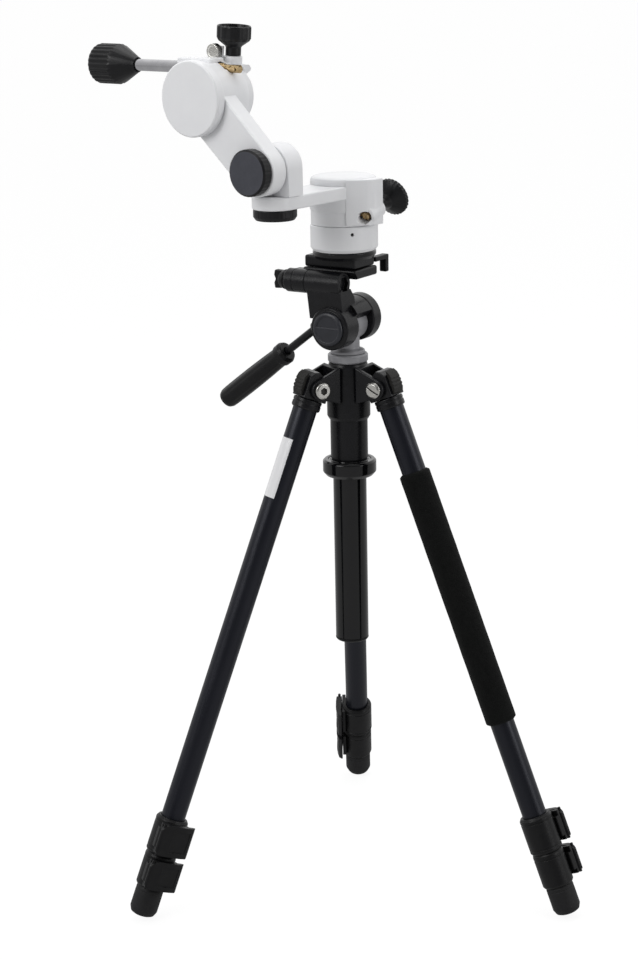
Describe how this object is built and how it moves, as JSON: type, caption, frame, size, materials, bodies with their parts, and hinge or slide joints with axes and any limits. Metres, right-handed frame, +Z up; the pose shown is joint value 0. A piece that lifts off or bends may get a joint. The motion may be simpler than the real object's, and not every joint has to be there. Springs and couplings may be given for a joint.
{
  "type": "alt azimuth mount",
  "caption": "Alt-azimuth telescope mount with a folding offset arm and worm slow motions, on a photo tripod with a two-way pan head.",
  "frame": {"origin": "centre of the footprint's box on the ground plane; the tripod column stands at x 0.0106, y -0.0583 m", "axes": "+Z up, +Y towards the rear leg, so a viewer looking along +Y sees the other two legs left and right"},
  "size_m": [0.4918, 0.415, 0.8987],
  "materials": {
    "black_casting": "satin",
    "black_plastic": "satin",
    "brass": "bright",
    "chrome": "polished",
    "foot_rubber": "matt",
    "grey_alloy": "satin",
    "grip_foam": "matt foam",
    "leg_anodised": "anodised blue-black",
    "slate_face": "satin",
    "steel": "bright",
    "white_paint": "gloss"
  },
  "bodies": {
    "shoulder": {"shoulder": "black_casting", "left_hinge_bolt": "steel", "right_hinge_bolt": "steel", "rear_hinge_bolt": "steel"},
    "left_leg": {"left_leg_casting": "black_casting", "left_upper_tube": "leg_anodised", "left_upper_clamp": "black_plastic"},
    "left_tab": {"left_angle_tab": "black_plastic"},
    "left_lever_upper": {"left_upper_lever": "black_plastic"},
    "left_middle": {"left_mid_section": "black_plastic"},
    "left_lever_lower": {"left_lower_lever": "black_plastic"},
    "left_foot": {"left_lower_section": "foot_rubber"},
    "right_leg": {"right_leg_casting": "black_casting", "right_upper_tube": "leg_anodised", "right_upper_clamp": "black_plastic", "right_foam_grip": "grip_foam"},
    "right_tab": {"right_angle_tab": "black_plastic"},
    "right_lever_upper": {"right_upper_lever": "black_plastic"},
    "right_middle": {"right_mid_section": "black_plastic"},
    "right_lever_lower": {"right_lower_lever": "black_plastic"},
    "right_foot": {"right_lower_section": "foot_rubber"},
    "rear_leg": {"rear_leg_casting": "black_casting", "rear_upper_tube": "leg_anodised", "rear_upper_clamp": "black_plastic"},
    "rear_tab": {"rear_angle_tab": "black_plastic"},
    "rear_lever_upper": {"rear_upper_lever": "black_plastic"},
    "rear_middle": {"rear_mid_section": "black_plastic"},
    "rear_lever_lower": {"rear_lower_lever": "black_plastic"},
    "rear_foot": {"rear_lower_section": "foot_rubber"},
    "column": {"centre_column": "black_casting", "column_end_cap": "black_plastic", "pan_base": "grey_alloy"},
    "column_ring": {"column_collar": "black_plastic"},
    "pan": {"pan_stem": "grey_alloy"},
    "tilt": {"tilt_body": "black_casting", "drum_cap": "slate_face"},
    "handle": {"handle_rod": "black_casting", "handle_grip": "black_plastic"},
    "side": {"platform": "black_casting", "quick_shoe": "black_casting", "base_puck": "white_paint"},
    "side_lock": {"side_tilt_lever": "black_plastic"},
    "release": {"shoe_release": "black_plastic"},
    "azimuth_wheel": {"azimuth_wheel": "brass"},
    "lower_arm": {"lower_arm": "white_paint", "azimuth_cap": "white_paint"},
    "azimuth_knob": {"azimuth_worm": "brass", "azimuth_knob": "black_plastic"},
    "elbow": {"elbow_block": "white_paint"},
    "elbow_lower_knob": {"elbow_knob_lower": "black_plastic"},
    "upper_arm": {"upper_arm": "white_paint", "altitude_cover": "white_paint"},
    "elbow_front_knob": {"elbow_knob_front": "black_plastic"},
    "altitude_wheel": {"altitude_wheel": "brass"},
    "altitude_knob": {"altitude_worm": "brass", "altitude_rod": "chrome", "altitude_knob": "black_plastic"},
    "saddle": {"saddle": "white_paint"},
    "clamp_knob": {"clamp_knob": "black_plastic"},
    "safety_screw": {"safety_screw": "steel"}
  },
  "joints": [
    {"name": "left_leg_fold", "type": "hinge", "parent": "shoulder", "child": "left_leg", "pos_m": [-0.02409, -0.07834, 0.53523], "axis": [-0.5, 0.866, 0], "range_deg": [-20, 0]},
    {"name": "left_angle_tab_pull", "type": "slide", "parent": "left_leg", "child": "left_tab", "axis": [-0.8044, -0.4644, 0.3704], "range_m": [0, 0.005]},
    {"name": "left_upper_lever_flip", "type": "hinge", "parent": "left_leg", "child": "left_lever_upper", "pos_m": [-0.02963, -0.10545, 0.54255], "axis": [-0.3208, -0.1852, -0.9289], "range_deg": [0, 100]},
    {"name": "left_middle_extend", "type": "slide", "parent": "left_leg", "child": "left_middle", "axis": [-0.3208, -0.1852, -0.9289], "range_m": [0, 0.36]},
    {"name": "left_lower_lever_flip", "type": "hinge", "parent": "left_middle", "child": "left_lever_lower", "pos_m": [-0.02963, -0.10545, 0.54255], "axis": [-0.3208, -0.1852, -0.9289], "range_deg": [0, 100]},
    {"name": "left_foot_extend", "type": "slide", "parent": "left_middle", "child": "left_foot", "axis": [-0.3208, -0.1852, -0.9289], "range_m": [0, 0.36]},
    {"name": "right_leg_fold", "type": "hinge", "parent": "shoulder", "child": "right_leg", "pos_m": [0.0452, -0.07834, 0.53523], "axis": [-0.5, -0.866, 0], "range_deg": [-20, 0]},
    {"name": "right_angle_tab_pull", "type": "slide", "parent": "right_leg", "child": "right_tab", "axis": [0.8044, -0.4644, 0.3704], "range_m": [0, 0.005]},
    {"name": "right_upper_lever_flip", "type": "hinge", "parent": "right_leg", "child": "right_lever_upper", "pos_m": [0.07144, -0.0696, 0.54255], "axis": [0.3208, -0.1852, -0.9289], "range_deg": [0, 100]},
    {"name": "right_middle_extend", "type": "slide", "parent": "right_leg", "child": "right_middle", "axis": [0.3208, -0.1852, -0.9289], "range_m": [0, 0.36]},
    {"name": "right_lower_lever_flip", "type": "hinge", "parent": "right_middle", "child": "right_lever_lower", "pos_m": [0.07144, -0.0696, 0.54255], "axis": [0.3208, -0.1852, -0.9289], "range_deg": [0, 100]},
    {"name": "right_foot_extend", "type": "slide", "parent": "right_middle", "child": "right_foot", "axis": [0.3208, -0.1852, -0.9289], "range_m": [0, 0.36]},
    {"name": "rear_leg_fold", "type": "hinge", "parent": "shoulder", "child": "rear_leg", "pos_m": [0.01056, -0.01835, 0.53523], "axis": [1, 0, 0], "range_deg": [-20, 0]},
    {"name": "rear_angle_tab_pull", "type": "slide", "parent": "rear_leg", "child": "rear_tab", "axis": [0, 0.9289, 0.3704], "range_m": [0, 0.005]},
    {"name": "rear_upper_lever_flip", "type": "hinge", "parent": "rear_leg", "child": "rear_lever_upper", "pos_m": [-0.01014, 0.00001, 0.54255], "axis": [0, 0.3704, -0.9289], "range_deg": [0, 100]},
    {"name": "rear_middle_extend", "type": "slide", "parent": "rear_leg", "child": "rear_middle", "axis": [0, 0.3704, -0.9289], "range_m": [0, 0.36]},
    {"name": "rear_lower_lever_flip", "type": "hinge", "parent": "rear_middle", "child": "rear_lever_lower", "pos_m": [-0.01014, 0.00001, 0.54255], "axis": [0, 0.3704, -0.9289], "range_deg": [0, 100]},
    {"name": "rear_foot_extend", "type": "slide", "parent": "rear_middle", "child": "rear_foot", "axis": [0, 0.3704, -0.9289], "range_m": [0, 0.36]},
    {"name": "column_lift", "type": "slide", "parent": "shoulder", "child": "column", "axis": [0, 0, 1], "range_m": [0, 0.18]},
    {"name": "column_collar_twist", "type": "hinge", "parent": "shoulder", "child": "column_ring", "pos_m": [0.01056, -0.05835, -0.00467], "axis": [0, 0, 1], "range_deg": [0, 90]},
    {"name": "pan", "type": "hinge", "parent": "column", "child": "pan", "pos_m": [0.01056, -0.05835, -0.00467], "axis": [0, 0, 1], "continuous": true},
    {"name": "tilt", "type": "hinge", "parent": "pan", "child": "tilt", "pos_m": [0.01056, -0.05835, 0.59733], "axis": [-0.5165, -0.8563, 0], "range_deg": [-60, 10]},
    {"name": "handle_twist", "type": "hinge", "parent": "tilt", "child": "handle", "pos_m": [-0.01699, -0.06742, 0.59763], "axis": [-0.6832, 0.4121, -0.6029], "range_deg": [0, 180]},
    {"name": "side_tilt", "type": "hinge", "parent": "tilt", "child": "side", "pos_m": [-0.00287, -0.08061, 0.64233], "axis": [0.8563, -0.5165, 0], "range_deg": [0, 90]},
    {"name": "side_lock_twist", "type": "hinge", "parent": "side", "child": "side_lock", "pos_m": [-0.00287, -0.08061, 0.64233], "axis": [0.8563, -0.5165, 0], "range_deg": [0, 90]},
    {"name": "shoe_release_turn", "type": "hinge", "parent": "side", "child": "release", "pos_m": [0.03949, -0.04135, 0.65533], "axis": [0, 0, 1], "range_deg": [0, 30]},
    {"name": "azimuth_clutch", "type": "hinge", "parent": "side", "child": "azimuth_wheel", "pos_m": [0.00876, -0.05844, -0.00467], "axis": [0, 0, 1], "continuous": true},
    {"name": "azimuth_slow_motion", "type": "hinge", "parent": "azimuth_wheel", "child": "lower_arm", "pos_m": [0.00876, -0.05844, -0.00467], "axis": [0, 0, 1], "continuous": true},
    {"name": "azimuth_knob_turn", "type": "hinge", "parent": "lower_arm", "child": "azimuth_knob", "pos_m": [0.02967, -0.08931, 0.70923], "axis": [0.5714, 0.7555, 0.3206], "continuous": true},
    {"name": "elbow_swivel", "type": "hinge", "parent": "lower_arm", "child": "elbow", "pos_m": [-0.05579, -0.14379, -0.00467], "axis": [0, 0, 1], "range_deg": [-175, 175]},
    {"name": "elbow_lower_knob_turn", "type": "hinge", "parent": "lower_arm", "child": "elbow_lower_knob", "pos_m": [-0.05579, -0.14379, -0.00467], "axis": [0, 0, 1], "range_deg": [0, 180]},
    {"name": "upper_arm_tilt", "type": "hinge", "parent": "elbow", "child": "upper_arm", "pos_m": [0.00876, -0.05844, 0.76483], "axis": [0.6032, 0.7976, 0], "range_deg": [-30, 60]},
    {"name": "elbow_front_knob_turn", "type": "hinge", "parent": "upper_arm", "child": "elbow_front_knob", "pos_m": [0.00876, -0.05844, 0.76483], "axis": [-0.6032, -0.7976, 0], "range_deg": [0, 180]},
    {"name": "altitude_slow_motion", "type": "hinge", "parent": "upper_arm", "child": "altitude_wheel", "pos_m": [-0.04732, -0.01604, 0.83133], "axis": [0.6032, 0.7976, 0], "continuous": true},
    {"name": "altitude_knob_turn", "type": "hinge", "parent": "upper_arm", "child": "altitude_knob", "pos_m": [-0.0579, -0.14658, 0.85833], "axis": [-0.7976, 0.6032, 0], "continuous": true},
    {"name": "altitude_clutch", "type": "hinge", "parent": "altitude_wheel", "child": "saddle", "pos_m": [-0.04732, -0.01604, 0.83133], "axis": [0.6032, 0.7976, 0], "continuous": true},
    {"name": "clamp_knob_turn", "type": "hinge", "parent": "saddle", "child": "clamp_knob", "pos_m": [-0.09847, -0.08367, 0.83133], "axis": [0.0695, -0.0526, 0.9962], "range_deg": [0, 360]},
    {"name": "safety_screw_turn", "type": "hinge", "parent": "saddle", "child": "safety_screw", "pos_m": [-0.05327, -0.01154, 0.87334], "axis": [-0.6032, -0.7976, 0], "range_deg": [0, 360]}
  ],
  "couplings": [
    {"joint": "azimuth_knob_turn", "follows": "azimuth_slow_motion", "ratio": -48},
    {"joint": "altitude_knob_turn", "follows": "altitude_slow_motion", "ratio": -48}
  ]
}
